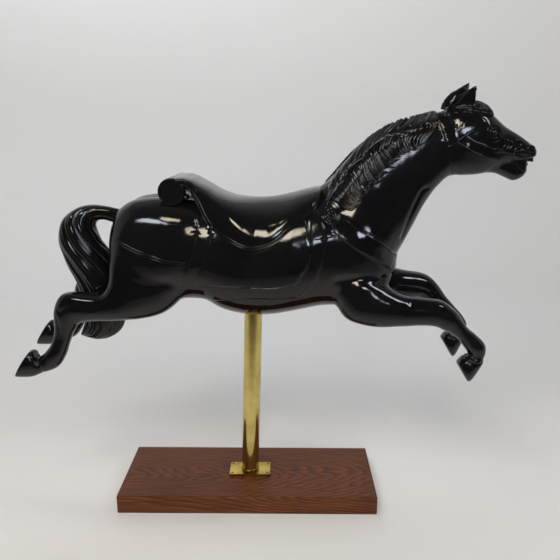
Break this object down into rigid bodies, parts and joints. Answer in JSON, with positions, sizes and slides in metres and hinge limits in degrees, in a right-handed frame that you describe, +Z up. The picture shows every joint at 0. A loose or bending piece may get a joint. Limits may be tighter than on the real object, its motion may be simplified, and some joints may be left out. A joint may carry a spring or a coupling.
{
  "type": "carousel horse",
  "caption": "Carved carousel horse in full gallop, black lacquer, with roll-backed saddle, on a brass pole, screwed plate and oak board",
  "frame": {"origin": "in the middle of the board's underside", "axes": "+X towards the horse's head, +Y to the horse's left side, +Z up"},
  "size_m": [1.07, 0.218, 0.896],
  "materials": {
    "lacquer": "carved wood under high gloss black lacquer",
    "pole_brass": "polished, lengthwise drawing lines",
    "plate_brass": "polished, dulled on top",
    "screw_brass": "turned",
    "oak": "dark stain, satin varnish"
  },
  "bodies": {
    "root": {"horse": "lacquer", "pole": "pole_brass", "plate": "plate_brass", "screw_1": "screw_brass", "screw_2": "screw_brass", "screw_3": "screw_brass", "screw_4": "screw_brass", "board": "oak"}
  },
  "joints": []
}
